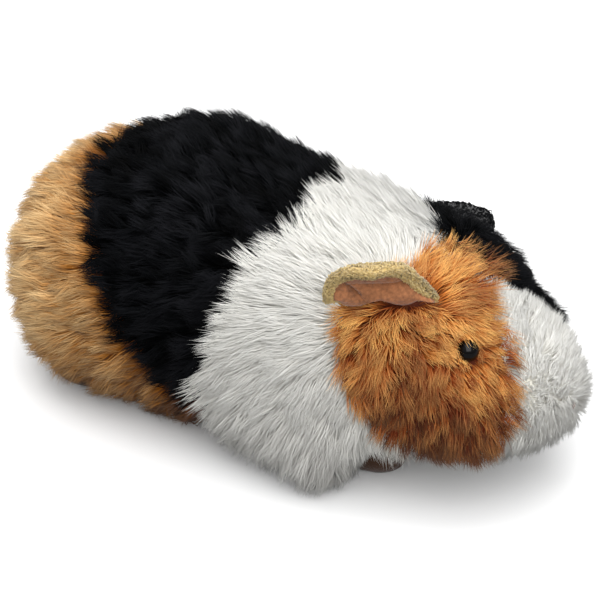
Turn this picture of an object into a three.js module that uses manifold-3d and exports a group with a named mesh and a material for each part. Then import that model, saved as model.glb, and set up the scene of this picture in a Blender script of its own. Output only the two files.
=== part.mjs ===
// A plush guinea pig lying on its belly: a stuffed body sewn from long-pile panels (tan rump,
// black saddle, white shoulders, tan belly), a head with an orange and a black cheek either side
// of a white muzzle and blaze, two cupped two-layer ears, plastic eyes, a stitched nose and four
// small velour feet.
//
// Millimetres. +X runs from rump to nose, +Y to the animal's left, +Z up. The origin is under the
// middle of the body, on the surface that it lies on. The solids reach out to the tips of the pile.
//
// The body is one lofted shape. A place on it is given by three shares: "along", from 0 at the rump
// to 1 at the nose; an angle in degrees "around" the section, with 0 at the right side, 90 on the
// back, 180 at the left side and -90 at the belly; and "out", from 0 at the core line to 1 at the
// tips of the pile.
import * as THREE from "three";
import Module from "manifold-3d";
import { mergeVertices } from "three/addons/utils/BufferGeometryUtils.js";

const wasm = await Module();
wasm.setup();

// ---- driving dimensions ----
const LENGTH = 258;
const SEAM_GAP = 0.4; // between neighbouring panels
const RUMP_ROUNDING = 46; // length over which the rear end closes
const NOSE_ROUNDING = 51;
const CORE_SHARE = 0.47; // height of the core line, as a share of the section's height
const UPPER_POWER = 2.1; // how square the section is above the core line

// Each profile is a list of [along, millimetres]; how square the section is below has no unit.
const HALF_WIDTH = [[0, 54], [0.2, 57], [0.4, 61], [0.56, 62], [0.7, 56], [0.84, 46], [0.94, 42], [1, 38]];
const BACK_HEIGHT = [
  [0, 104], [0.16, 110.5], [0.33, 124], [0.48, 116], [0.68, 106], [0.84, 92], [0.93, 77.5], [1, 71],
];
const BELLY_HEIGHT = [[0, 2], [0.2, -3], [0.63, -3], [0.69, 0], [0.74, 10], [0.8, 14], [0.94, 17], [1, 18]];
const LOWER_POWER = [[0, 2.3], [0.15, 2.25], [0.35, 2.1], [0.52, 2.2], [0.67, 2.6], [0.76, 2.3], [1, 2.6]];

// Stuffed swellings: how far each stands out, where it is, and how far it spreads. They fade towards
// the core line, within a radius in millimetres.
const SWELLINGS = [
  { out: 7.5, along: 0.65, around: -42, spreadAlong: 0.07, spreadAround: 34 }, // foreleg
  { out: 3.5, along: 0.54, around: -40, spreadAlong: 0.09, spreadAround: 34 }, // shoulder
  { out: 3, along: 0.84, around: -10, spreadAlong: 0.07, spreadAround: 40 }, // cheek
  { out: 1.5, along: 0.2, around: -30, spreadAlong: 0.12, spreadAround: 40 }, // haunch
];
const SWELLING_FADE = 30;

// Each seam is a list of [degrees above the side, along], the same on both sides of the body.
const RUMP_SEAM = [[-90, 0.42], [-40, 0.38], [0, 0.305], [45, 0.22], [90, 0.205]];
const SADDLE_SEAM = [[-90, 0.44], [0, 0.452], [45, 0.49], [90, 0.545]];
const NECK_SEAM = [[-90, 0.8], [-14, 0.765], [6, 0.69], [22, 0.66], [40, 0.655], [65, 0.685], [90, 0.725]];
const CHEEK_FRONT_SEAM = [[-90, 0.84], [-40, 0.86], [10, 0.93], [60, 0.91], [78, 0.875], [90, 0.86]];
const CHEEK_LOW = -52.5; // degrees around where the cheek ends below
const BLAZE_HALF = 7.5; // degrees from the top of the head to the edge of the blaze
const CHEEK_DEPTH = 0.62; // "out" where the cheek's stuffing starts, and where each seam turns to the core
// The room cut for a cheek goes past it by these shares behind, inside and outside, and by these
// degrees beside it, which is a seam's gap at the head's size.
const CHEEK_ROOM = { behind: 0.02, inside: 0.012, outside: 0.2, beside: 0.45 };

const BELLY_PANEL = { centre: [-14, 0, -8], radii: [88, 58, 27] };

// The ear's outline, laid flat: [towards the nose, up from the seam], starting behind.
const EAR_OUTLINE = [
  [-17, -8], [-22.5, 0], [-23.5, 8], [-20, 17], [-12, 23.5], [-3, 26], [6, 22], [13, 14.5], [19, 7.5],
  [22.5, 1], [16, -8], [-1, -10],
];
const EAR_CENTRE = [-1, 8];
const EAR_LAYER = 2.6; // thickness of each of the two layers
const EAR_EDGE = 0.3; // share of that thickness at the edge
// For each ear: the middle of the seam where it is sewn in, how far that seam turns in towards the
// nose, how much its ends cup towards the lining, and its lean from upright, outwards, as a list of
// [up from the seam, degrees]. The left one has flopped over.
const RIGHT_EAR = {
  seam: [56, -35.5, 91], turn: 28, cup: 0.006,
  lean: [[-10, 0], [0, 0], [15, 32], [27, 118]],
};
const LEFT_EAR = {
  seam: [54.5, 34, 87], turn: 22, cup: 0.012,
  lean: [[-10, 66], [0, 84], [15, 108], [27, 138]],
};

const EYE = { along: 0.848, around: 43, radius: 4.4, sunk: 3.6 };
const NOSE = { centre: [123.4, 0, 41], radii: [4.8, 6, 4.4] };
const FEET = {
  front: { centre: [46, 22, 5.4], radii: [17, 8.5, 6.5], turn: -6 },
  hind: { centre: [-94, 24, 5], radii: [17, 9, 6.5], turn: 10 },
};

// ---- fineness of the faceted solids ----
const FACET = 7.5; // degrees round the body; the cheek's limits are whole facets
const ROWS = { body: 32, rump: 8, saddle: 5, shoulders: 5, head: 9, cheek: 6 }; // facets along each panel
const EAR_RIMS = 5;
const EAR_SPOKES = 18;
const CURL_STEPS = 24;
const END_SHARE = 0.002; // the last ring of the body stands this far from its closing point
const WELD = 1e-3; // corners closer than this are one
const OUTERMOST = 0.01; // in splitting a seam's faces, how much standing out counts against standing behind

// ---- materials ----
function cloth(color, roughness = 0.95) {
  return new THREE.MeshStandardMaterial({ color, roughness, metalness: 0 });
}
const MATERIALS = {
  tanPile: cloth(0xd2a468),
  blackPile: cloth(0x17181b),
  whitePile: cloth(0xe9e7e0),
  orangePile: cloth(0xbf7a3c),
  bellyPile: cloth(0x8f6437),
  yellowTerry: cloth(0xc2a660),
  blackTerry: cloth(0x14151a),
  pinkVelour: cloth(0xa9744f),
  footVelour: cloth(0x4a3424),
  noseThread: cloth(0xa8695c, 0.7),
  eyePlastic: cloth(0x050506, 0.12),
};

// ---- the body's shape ----
const degrees = THREE.MathUtils.degToRad;

// The value of a [position, value] list at a position, on a smooth curve through its points.
function profile(points, at) {
  const curve = new THREE.CubicInterpolant(points.map((p) => p[0]), points.map((p) => p[1]), 1);
  return curve.evaluate(at)[0];
}

// An angle around the section as degrees above the side, from -90 to 90 on either side.
function aboveSide(around) {
  return around > 90 ? 180 - around : around;
}

function roundedEnd(distance, rounding) {
  const inward = 1 - Math.min(distance / rounding, 1);
  return Math.sqrt(Math.max(1 - inward * inward, 0));
}

function swelling(along, around) {
  return SWELLINGS.reduce((sum, s) => {
    const far = ((along - s.along) / s.spreadAlong) ** 2;
    const round = ((aboveSide(around) - s.around) / s.spreadAround) ** 2;
    return sum + s.out * Math.exp(-far - round);
  }, 0);
}

function superellipse(value, power) {
  return Math.sign(value) * Math.abs(value) ** (2 / power);
}

function coreHeight(along) {
  const low = profile(BELLY_HEIGHT, along);
  return low + CORE_SHARE * (profile(BACK_HEIGHT, along) - low);
}

// A point of the body. "grow" moves the surface outwards, in millimetres.
function bodyPoint(along, around, out = 1, grow = 0) {
  const closing = roundedEnd(along * LENGTH, RUMP_ROUNDING) * roundedEnd((1 - along) * LENGTH, NOSE_ROUNDING);
  const core = coreHeight(along);
  const upper = Math.sin(degrees(around)) > 0;
  const power = upper ? UPPER_POWER : profile(LOWER_POWER, along);
  const reach = upper ? profile(BACK_HEIGHT, along) - core : core - profile(BELLY_HEIGHT, along);
  let y = -profile(HALF_WIDTH, along) * closing * superellipse(Math.cos(degrees(around)), power);
  let z = reach * closing * superellipse(Math.sin(degrees(around)), power);
  const radius = Math.hypot(y, z);
  const swollen = radius + swelling(along, around) * Math.min(radius / SWELLING_FADE, 1) + grow;
  const scale = radius > 0 ? (swollen / radius) * out : 0;
  y *= scale;
  z *= scale;
  return [(along - 0.5) * LENGTH, y, Math.max(core + z, -grow)];
}

// ---- closed meshes and booleans ----
function closedMesh(positions, indices) {
  const geometry = new THREE.BufferGeometry();
  geometry.setAttribute("position", new THREE.Float32BufferAttribute(positions.flat(), 3));
  geometry.setIndex(indices);
  return geometry;
}

function toSolid(geometry) {
  const bare = geometry.clone();
  bare.deleteAttribute("normal");
  bare.deleteAttribute("uv");
  const merged = mergeVertices(bare, WELD);
  return new wasm.Manifold(new wasm.Mesh({
    numProp: 3,
    vertProperties: merged.attributes.position.array,
    triVerts: new Uint32Array(merged.index.array),
  }));
}

function toGeometry(solid) {
  const mesh = solid.getMesh();
  const geometry = new THREE.BufferGeometry();
  geometry.setAttribute("position", new THREE.BufferAttribute(mesh.vertProperties, 3));
  geometry.setIndex(new THREE.BufferAttribute(mesh.triVerts, 1));
  geometry.computeVertexNormals();
  return geometry;
}

// Adds two triangles for a four-cornered face. A face of a seam is split from its rearmost and
// outermost corner, so that the faces on the seam's two sides match; any other, along its shorter
// diagonal.
function addQuad(indices, positions, [a, b, c, d], onSeam) {
  const apart = (p, q) => Math.hypot(...positions[p].map((value, axis) => value - positions[q][axis]));
  const [rearmost] = [a, b, c, d].sort((p, q) => seamOrder(positions[p]) - seamOrder(positions[q]));
  const first = onSeam ? rearmost === a || rearmost === c : apart(a, c) < apart(b, d);
  if (first) indices.push(a, b, c, a, c, d);
  else indices.push(a, b, d, b, c, d);
}

function seamOrder([x, y, z]) {
  return x - OUTERMOST * Math.hypot(y, z - coreHeight(0.5));
}

// A solid from rings of points, each with the same count, closed by a point at either end.
function ringSolid(firstPoint, rings, lastPoint) {
  const count = rings[0].length;
  const positions = [firstPoint, ...rings.flat(), lastPoint];
  const last = positions.length - 1;
  const indices = [];
  for (let j = 0; j < count; j++) {
    const next = (j + 1) % count;
    indices.push(0, 1 + next, 1 + j);
    for (let i = 0; i < rings.length - 1; i++) {
      const a = 1 + i * count;
      const b = a + count;
      const onSeam = i === 0 || i === rings.length - 2;
      addQuad(indices, positions, [a + j, a + next, b + next, b + j], onSeam);
    }
    const end = 1 + (rings.length - 1) * count;
    indices.push(end + j, end + next, last);
  }
  const solid = toSolid(closedMesh(positions, indices));
  return solid.volume() < 0 ? toSolid(closedMesh(positions, indices.reverse())) : solid;
}

// A box in the body's own shares, bent to the body's shape. Each limit is a number or a function
// of the angle around.
function shareBox({ from, to, lowAround, highAround, inner, outer, steps }) {
  const [nAlong, nAround, nOut] = steps;
  const index = new Map();
  const positions = [];
  const indices = [];
  function vertex(i, j, k) {
    const key = `${i},${j},${k}`;
    if (!index.has(key)) {
      const around = lowAround + ((highAround - lowAround) * j) / nAround;
      const start = from(around);
      const along = start + ((to(around) - start) * i) / nAlong;
      index.set(key, positions.length);
      positions.push(bodyPoint(along, around, inner + ((outer - inner) * k) / nOut));
    }
    return index.get(key);
  }
  function face(corners, onSeam = false) {
    addQuad(indices, positions, corners.map((corner) => vertex(...corner)), onSeam);
  }
  for (let i = 0; i < nAlong; i++)
    for (let j = 0; j < nAround; j++) {
      face([[i, j, nOut], [i + 1, j, nOut], [i + 1, j + 1, nOut], [i, j + 1, nOut]]);
      face([[i, j, 0], [i, j + 1, 0], [i + 1, j + 1, 0], [i + 1, j, 0]]);
    }
  for (let i = 0; i < nAlong; i++)
    for (let k = 0; k < nOut; k++) {
      face([[i, 0, k], [i + 1, 0, k], [i + 1, 0, k + 1], [i, 0, k + 1]]);
      face([[i, nAround, k], [i, nAround, k + 1], [i + 1, nAround, k + 1], [i + 1, nAround, k]]);
    }
  for (let j = 0; j < nAround; j++)
    for (let k = 0; k < nOut; k++) {
      face([[0, j, k], [0, j, k + 1], [0, j + 1, k + 1], [0, j + 1, k]], true);
      face([[nAlong, j, k], [nAlong, j + 1, k], [nAlong, j + 1, k + 1], [nAlong, j, k + 1]], true);
    }
  const solid = toSolid(closedMesh(positions, indices));
  return solid.volume() < 0 ? toSolid(closedMesh(positions, indices.reverse())) : solid;
}

// An ellipsoid turned about its own upright axis.
function ellipsoid(centre, radii, { turn = 0, grow = 0, widthSteps = 20, heightSteps = 10 } = {}) {
  const geometry = new THREE.SphereGeometry(1, widthSteps, heightSteps);
  geometry.rotateX(Math.PI / 2);
  geometry.scale(radii[0] + grow, radii[1] + grow, radii[2] + grow);
  geometry.rotateZ(degrees(turn));
  geometry.translate(...centre);
  return toSolid(geometry);
}

// Everything above the surface that the toy lies on, near the toy.
function aboveFloor() {
  const room = 4 * LENGTH;
  return toSolid(new THREE.BoxGeometry(room, room, room).translate(0, 0, room / 2));
}

// ---- trunk and head ----
const facetAngles = Array.from({ length: 360 / FACET }, (_, j) => -90 + j * FACET);

// The stretch of the body between two seams, closed across the stuffing.
function stretch(from, to, rows) {
  const ring = (share, out = 1) => facetAngles.map((around) => {
    const start = from(around);
    return bodyPoint(start + (to(around) - start) * share, around, out);
  });
  const skin = Array.from({ length: rows + 1 }, (_, i) => ring(i / rows));
  const middle = (limit) => bodyPoint((limit(90) + limit(-90)) / 2, 0, 0);
  return ringSolid(middle(from), [ring(0, CHEEK_DEPTH), ...skin, ring(1, CHEEK_DEPTH)], middle(to));
}

const halfGap = SEAM_GAP / 2 / LENGTH;
const seam = (points, shift = 0) => (around) => profile(points, aboveSide(around)) + shift;
const rearEnd = () => END_SHARE;
const frontEnd = () => 1 - END_SHARE;

const cheekSteps = [ROWS.cheek, (90 - BLAZE_HALF - CHEEK_LOW) / FACET, 1];

// A cheek, set into the side of the head.
function cheekSolid(left) {
  const high = 90 - BLAZE_HALF;
  return shareBox({
    from: seam(NECK_SEAM, halfGap),
    to: seam(CHEEK_FRONT_SEAM),
    lowAround: left ? 180 - high : CHEEK_LOW,
    highAround: left ? 180 - CHEEK_LOW : high,
    inner: CHEEK_DEPTH,
    outer: 1,
    steps: cheekSteps,
  });
}

// The room that a cheek takes out of the head: a seam's gap wider, and open behind and outside.
function cheekRoom(left) {
  const high = 90 - BLAZE_HALF + CHEEK_ROOM.beside;
  const low = CHEEK_LOW - CHEEK_ROOM.beside;
  return shareBox({
    from: seam(NECK_SEAM, -CHEEK_ROOM.behind),
    to: seam(CHEEK_FRONT_SEAM, (2 * SEAM_GAP) / LENGTH),
    lowAround: left ? 180 - high : low,
    highAround: left ? 180 - low : high,
    inner: CHEEK_DEPTH - CHEEK_ROOM.inside,
    outer: 1 + CHEEK_ROOM.outside,
    steps: cheekSteps,
  });
}

const floorHalf = aboveFloor();
const wholeBody = (grow) => {
  const rings = Array.from({ length: ROWS.body + 1 }, (_, i) => {
    const along = END_SHARE + ((1 - 2 * END_SHARE) * i) / ROWS.body;
    return facetAngles.map((around) => bodyPoint(along, around, 1, grow));
  });
  return ringSolid(bodyPoint(0, 0, 0), rings, bodyPoint(1, 0, 0));
};

const bellyCut = ellipsoid(BELLY_PANEL.centre, BELLY_PANEL.radii, { grow: SEAM_GAP });
const belly = ellipsoid(BELLY_PANEL.centre, BELLY_PANEL.radii).intersect(wholeBody(0));

const rump = stretch(rearEnd, seam(RUMP_SEAM, -halfGap), ROWS.rump).subtract(bellyCut);
const saddle = stretch(seam(RUMP_SEAM, halfGap), seam(SADDLE_SEAM, -halfGap), ROWS.saddle).subtract(bellyCut);
const shoulders = stretch(seam(SADDLE_SEAM, halfGap), seam(NECK_SEAM, -halfGap), ROWS.shoulders)
  .subtract(bellyCut);

// ---- ears ----
// A smooth closed curve through the ear's outline, by share of the way round.
function earOutline(share) {
  const curve = new THREE.CatmullRomCurve3(EAR_OUTLINE.map(([a, h]) => new THREE.Vector3(a, h, 0)), true);
  const at = curve.getPoint(share);
  return [at.x, at.y];
}

// How far out and up the ear has come, in its own section, at a height along its curl.
function earCurl(lean, height) {
  let out = 0;
  let up = 0;
  for (let i = 0; i < CURL_STEPS; i++) {
    const angle = degrees(profile(lean, ((i + 0.5) / CURL_STEPS) * height));
    out += (Math.sin(angle) * height) / CURL_STEPS;
    up += (Math.cos(angle) * height) / CURL_STEPS;
  }
  return [out, up, degrees(profile(lean, height))];
}

// A point of an ear: towards the nose, up its curl, and through it towards its back.
function earPoint(ear, forward, height, through) {
  const side = Math.sign(ear.seam[1]);
  const [out, up, angle] = earCurl(ear.lean, height);
  const back = through - ear.cup * forward * forward;
  const outward = out - back * Math.cos(angle);
  const turn = degrees(ear.turn);
  return [
    ear.seam[0] + forward * Math.cos(turn) + outward * Math.sin(turn),
    ear.seam[1] + side * (outward * Math.cos(turn) - forward * Math.sin(turn)),
    ear.seam[2] + up + back * Math.sin(angle),
  ];
}

// One layer of an ear, between two distances through it.
function earLayer(ear, near, far) {
  const [a0, h0] = EAR_CENTRE;
  const point = (share, spoke, through) => {
    const [a, h] = earOutline(spoke / EAR_SPOKES);
    return earPoint(ear, a0 + share * (a - a0), h0 + share * (h - h0), through);
  };
  const thinning = (share) => EAR_EDGE + (1 - EAR_EDGE) * Math.sqrt(Math.max(1 - share ** 4, 0));
  const face = (through, shares) => shares.map((share) =>
    Array.from({ length: EAR_SPOKES }, (_, j) => point(share, j, through * thinning(share))));
  const outwards = Array.from({ length: EAR_RIMS }, (_, i) => (i + 1) / EAR_RIMS);
  const rings = [...face(near, outwards), ...face(far, [...outwards].reverse())];
  return ringSolid(point(0, 0, near), rings, point(0, 0, far));
}

const grownBody = wholeBody(SEAM_GAP);
function trimmed(solid) {
  return solid.subtract(grownBody).intersect(floorHalf);
}

// ---- eyes, nose and feet ----
function eyeSolid(left, grow) {
  const around = left ? 180 - EYE.around : EYE.around;
  const surface = new THREE.Vector3(...bodyPoint(EYE.along, around));
  const inwards = new THREE.Vector3(...bodyPoint(EYE.along, around, 0)).sub(surface).normalize();
  const centre = surface.addScaledVector(inwards, EYE.sunk);
  const radius = EYE.radius + grow;
  return ellipsoid(centre.toArray(), [radius, radius, radius], { widthSteps: 12, heightSteps: 8 });
}

function noseSolid(grow) {
  return ellipsoid(NOSE.centre, NOSE.radii, { grow, widthSteps: 12, heightSteps: 8 });
}

function footSolid(foot, left) {
  const side = left ? 1 : -1;
  const centre = [foot.centre[0], side * foot.centre[1], foot.centre[2]];
  return trimmed(ellipsoid(centre, foot.radii, { turn: side * foot.turn, widthSteps: 16, heightSteps: 10 }));
}

const eyeCuts = eyeSolid(false, SEAM_GAP).add(eyeSolid(true, SEAM_GAP));
const cheekCuts = cheekRoom(false).add(cheekRoom(true));
const head = stretch(seam(NECK_SEAM, halfGap), frontEnd, ROWS.head)
  .subtract(cheekCuts)
  .subtract(noseSolid(SEAM_GAP));

// ---- the scene graph ----
const group = new THREE.Group();
group.name = "plush_guinea_pig";

// The biggest piece of a cut solid; a boolean can leave a crumb beside it.
function biggest(solid) {
  return solid.decompose().sort((a, b) => b.volume() - a.volume())[0];
}

function place(name, solid, material) {
  const mesh = new THREE.Mesh(toGeometry(biggest(solid)), material);
  mesh.name = name;
  group.add(mesh);
}

place("rump", rump, MATERIALS.tanPile);
place("saddle", saddle, MATERIALS.blackPile);
place("shoulders", shoulders, MATERIALS.whitePile);
place("belly", belly, MATERIALS.bellyPile);
place("muzzle", head, MATERIALS.whitePile);
place("nose", noseSolid(0), MATERIALS.noseThread);
for (const [side, left] of [["right", false], ["left", true]]) {
  const pile = left ? MATERIALS.blackPile : MATERIALS.orangePile;
  place(`cheek_${side}`, cheekSolid(left).subtract(eyeCuts), pile);
  place(`eye_${side}`, eyeSolid(left, 0), MATERIALS.eyePlastic);
  const ear = left ? LEFT_EAR : RIGHT_EAR;
  const terry = left ? MATERIALS.blackTerry : MATERIALS.yellowTerry;
  place(`ear_${side}_back`, trimmed(earLayer(ear, SEAM_GAP / 2, EAR_LAYER)), terry);
  place(`ear_${side}_lining`, trimmed(earLayer(ear, -EAR_LAYER, -SEAM_GAP / 2)), MATERIALS.pinkVelour);
  place(`foot_front_${side}`, footSolid(FEET.front, left), MATERIALS.footVelour);
  place(`foot_hind_${side}`, footSolid(FEET.hind, left), MATERIALS.footVelour);
}

export default group;
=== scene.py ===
"""Looks of a plush guinea pig lying on its belly.

The skins and the pile follow the same lofted shape as the solids. A place on it is given by two
shares: "along", from 0 at the rump to 1 at the nose, and an angle in degrees "around" the section,
with 0 at the right side, 90 on the back and 180 at the left side. Shapes are worked out in
millimetres and turned into metres when a mesh is made.
"""

import math

import bmesh
import bpy
import numpy as np
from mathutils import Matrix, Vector, kdtree


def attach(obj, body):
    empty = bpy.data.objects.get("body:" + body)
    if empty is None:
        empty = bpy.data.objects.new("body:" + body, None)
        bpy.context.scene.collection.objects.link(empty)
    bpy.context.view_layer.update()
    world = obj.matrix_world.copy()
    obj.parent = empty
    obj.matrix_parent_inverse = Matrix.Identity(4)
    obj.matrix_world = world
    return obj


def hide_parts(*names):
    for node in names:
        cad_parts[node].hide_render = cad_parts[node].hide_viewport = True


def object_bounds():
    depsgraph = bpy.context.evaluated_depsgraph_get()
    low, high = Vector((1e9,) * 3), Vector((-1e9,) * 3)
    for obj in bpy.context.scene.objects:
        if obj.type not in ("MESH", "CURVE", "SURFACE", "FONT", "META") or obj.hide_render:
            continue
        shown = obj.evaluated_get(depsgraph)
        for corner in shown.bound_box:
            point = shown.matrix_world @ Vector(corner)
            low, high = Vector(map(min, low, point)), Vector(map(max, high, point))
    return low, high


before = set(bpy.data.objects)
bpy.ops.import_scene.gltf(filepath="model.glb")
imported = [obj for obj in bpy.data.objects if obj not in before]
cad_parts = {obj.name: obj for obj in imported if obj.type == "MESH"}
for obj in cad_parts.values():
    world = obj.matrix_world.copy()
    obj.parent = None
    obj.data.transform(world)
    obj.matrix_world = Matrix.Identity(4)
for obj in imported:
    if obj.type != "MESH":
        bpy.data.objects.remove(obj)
cad_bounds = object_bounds()

MM = 0.001
random = np.random.default_rng(11)


def new_object(name, data):
    item = bpy.data.objects.new(name, data)
    bpy.context.scene.collection.objects.link(item)
    return item


# ---- camera ----
CAMERA_AZIMUTH = 27
CAMERA_ELEVATION = 33
CAMERA_DISTANCE = 0.7
CAMERA_LENS = 101.6
CAMERA_SHIFT = (0.0117, -0.0283)


def aim_camera():
    low, high = cad_bounds
    target = (Vector(low) + Vector(high)) / 2
    azimuth = math.radians(CAMERA_AZIMUTH)
    elevation = math.radians(CAMERA_ELEVATION)
    away = Vector((math.sin(azimuth) * math.cos(elevation), -math.cos(azimuth) * math.cos(elevation),
                   math.sin(elevation)))
    data = bpy.data.cameras.new("camera")
    data.lens = CAMERA_LENS
    data.sensor_width = 36
    data.shift_x, data.shift_y = CAMERA_SHIFT
    camera = new_object("camera", data)
    camera.location = target + away * CAMERA_DISTANCE
    camera.rotation_euler = away.to_track_quat("Z", "Y").to_euler()
    bpy.context.scene.camera = camera


# ---- the body's shape, in millimetres ----
LENGTH = 258
RUMP_ROUNDING = 46
NOSE_ROUNDING = 51
CORE_SHARE = 0.47
UPPER_POWER = 2.1
HALF_WIDTH = [[0, 54], [0.2, 57], [0.4, 61], [0.56, 62], [0.7, 56], [0.84, 46], [0.94, 42], [1, 38]]
BACK_HEIGHT = [[0, 104], [0.16, 110.5], [0.33, 124], [0.48, 116], [0.68, 106], [0.84, 92], [0.93, 77.5],
               [1, 71]]
BELLY_HEIGHT = [[0, 2], [0.2, -3], [0.63, -3], [0.69, 0], [0.74, 10], [0.8, 14], [0.94, 17], [1, 18]]
LOWER_POWER = [[0, 2.3], [0.15, 2.25], [0.35, 2.1], [0.52, 2.2], [0.67, 2.6], [0.76, 2.3], [1, 2.6]]
# Foreleg, shoulder, cheek and haunch: how far each stands out, its place, and its spread along and around.
SWELLINGS = [(5.8, 0.65, -42, 0.07, 34), (3.5, 0.54, -40, 0.09, 34), (3, 0.84, -10, 0.07, 40),
             (1.5, 0.2, -30, 0.12, 40)]
SWELLING_FADE = 30  # they fade towards the core line, within this radius
# Each seam lies a little ahead of where the tips of the pile in front of it reach.
RUMP_SEAM = [[-90, 0.4], [-20, 0.4], [-12, 0.382], [-5, 0.345], [4, 0.305], [12, 0.285], [20, 0.264],
             [38, 0.238], [50, 0.225], [65, 0.195], [75, 0.187], [90, 0.195]]
SADDLE_SEAM = [[-90, 0.415], [-25, 0.422], [-10, 0.444], [4, 0.47], [18, 0.496], [30, 0.51], [48, 0.528],
               [62, 0.552], [75, 0.578], [90, 0.56]]
NECK_SEAM = [[-90, 0.83], [-26, 0.785], [-11, 0.752], [0, 0.726], [10, 0.7], [25, 0.678], [42, 0.665],
             [49, 0.675], [56, 0.712], [64, 0.73], [76, 0.74], [90, 0.755]]
CHEEK_FRONT_SEAM = [[-90, 0.83], [-40, 0.875], [0, 0.918], [20, 0.925], [37, 0.922], [51, 0.909], [66, 0.888],
                    [77, 0.872], [85, 0.852], [90, 0.828]]
CHEEK_LOW = -52.5  # degrees around where the cheek ends below
BLAZE_HALF = 0.6  # degrees from the top of the head to the edge of a cheek's skin
PARTING = 93  # where the two cheeks' pile meets on the forehead
SKIN_FLOOR = 2.5  # the pile under the body is pressed to this thickness
REAR_END = 0.006  # where the skin and the pile start and end along the body
FRONT_END = 0.9985


def profile(points, at):
    """The value of a [position, value] list at each position, on a smooth curve."""
    x, y = np.array(points, float).T
    slope = np.gradient(y, x)
    i = np.clip(np.searchsorted(x, at) - 1, 0, len(x) - 2)
    step = x[i + 1] - x[i]
    t = np.clip((at - x[i]) / step, 0, 1)
    return ((1 + 2 * t) * (1 - t) ** 2 * y[i] + t * (1 - t) ** 2 * step * slope[i]
            + t * t * (3 - 2 * t) * y[i + 1] - t * t * (1 - t) * step * slope[i + 1])


def ramp(gone, distance):
    """How much of a distance is gone, from 0 to 1."""
    return np.clip(gone / distance, 0, 1)


def above_side(around):
    return np.where(around > 90, 180 - around, around)


def rounded_end(distance, rounding):
    inward = 1 - np.minimum(distance / rounding, 1)
    return np.sqrt(np.maximum(1 - inward * inward, 0))


def superellipse(value, power):
    return np.sign(value) * np.abs(value) ** (2 / power)


def core_height(along):
    low = profile(BELLY_HEIGHT, along)
    return low + CORE_SHARE * (profile(BACK_HEIGHT, along) - low)


def body_point(along, around):
    """Points on the tips of the pile."""
    along, around = np.broadcast_arrays(np.asarray(along, float), np.asarray(around, float))
    closing = rounded_end(along * LENGTH, RUMP_ROUNDING) * rounded_end((1 - along) * LENGTH, NOSE_ROUNDING)
    core = core_height(along)
    angle = np.radians(around)
    upper = np.sin(angle) > 0
    power = np.where(upper, UPPER_POWER, profile(LOWER_POWER, along))
    reach = np.where(upper, profile(BACK_HEIGHT, along) - core, core - profile(BELLY_HEIGHT, along))
    y = -profile(HALF_WIDTH, along) * closing * superellipse(np.cos(angle), power)
    z = reach * closing * superellipse(np.sin(angle), power)
    radius = np.maximum(np.hypot(y, z), 1e-6)
    swell = sum(out * np.exp(-(((along - a) / da) ** 2) - (((above_side(around) - b) / db) ** 2))
                for out, a, b, da, db in SWELLINGS)
    scale = 1 + swell * np.minimum(radius / SWELLING_FADE, 1) / radius
    return np.stack([(along - 0.5) * LENGTH, y * scale, core + z * scale], -1)


def unit(vectors):
    return vectors / np.maximum(np.linalg.norm(vectors, axis=-1, keepdims=True), 1e-9)


def body_normal(along, around):
    d_along = body_point(along + 0.003, around) - body_point(along - 0.003, around)
    d_around = body_point(along, around + 0.6) - body_point(along, around - 0.6)
    return unit(np.cross(d_along, d_around))


def skin_point(along, around, depth):
    """Points of the sewn skin, which lies a pile's depth inside the tips."""
    along = np.clip(along, REAR_END, FRONT_END)
    point = body_point(along, around) - depth * body_normal(along, around)
    point[..., 2] = np.maximum(point[..., 2], SKIN_FLOOR)
    return point


# ---- meshes ----
def add_object(name, mesh, material, node=None):
    """Adds a piece. Node is the solid that it stands for."""
    piece = new_object(name, mesh)
    mesh.materials.append(material)
    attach(piece, "root")
    if node:
        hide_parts(node)


def mesh_from(name, points, faces):
    mesh = bpy.data.meshes.new(name)
    mesh.from_pydata((np.asarray(points) * MM).tolist(), [], faces)
    mesh.polygons.foreach_set("use_smooth", [True] * len(mesh.polygons))
    mesh.update()
    return mesh


def ring_faces(rings, count):
    """Faces between closed rings of points, one after another."""
    return [(a + j, a + (j + 1) % count, a + count + (j + 1) % count, a + count + j)
            for a in range(0, (rings - 1) * count, count) for j in range(count)]


def ring_mesh(name, rings):
    """A closed mesh of rings of points, with a point at either end."""
    rings = np.asarray(rings)
    n, count = rings.shape[:2]
    points = np.concatenate([rings.reshape(-1, 3), [rings[0].mean(0), rings[-1].mean(0)]])
    faces = ring_faces(n, count)
    faces += [(n * count, (j + 1) % count, j) for j in range(count)]
    base = (n - 1) * count
    faces += [(base + j, base + (j + 1) % count, n * count + 1) for j in range(count)]
    return mesh_from(name, points, faces)


def turned_out(mesh):
    """Flips a closed mesh whose faces point inwards."""
    work = bmesh.new()
    work.from_mesh(mesh)
    if work.calc_volume(signed=True) < 0:
        bmesh.ops.reverse_faces(work, faces=work.faces)
    work.to_mesh(mesh)
    work.free()
    return mesh


def add_closed(name, rings, material, node):
    """Adds a closed form made of rings as a piece."""
    add_object(name, turned_out(ring_mesh(name, rings)), material, node)


# ---- skins ----
def along_seam(points):
    """A seam as a function: where it lies along the body at each angle around it."""
    return lambda around: profile(points, above_side(around))


rump_seam, saddle_seam = along_seam(RUMP_SEAM), along_seam(SADDLE_SEAM)
neck_seam, cheek_front_seam = along_seam(NECK_SEAM), along_seam(CHEEK_FRONT_SEAM)


def cheek_front(around):
    """The front of a cheek. The right one ends earlier beside the blaze."""
    earlier = 0.03 * ramp(around - 64, 16) * (around <= 90)
    return cheek_front_seam(around) - earlier


def at_end(place):
    return lambda around: np.full(np.shape(around), place)


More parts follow.
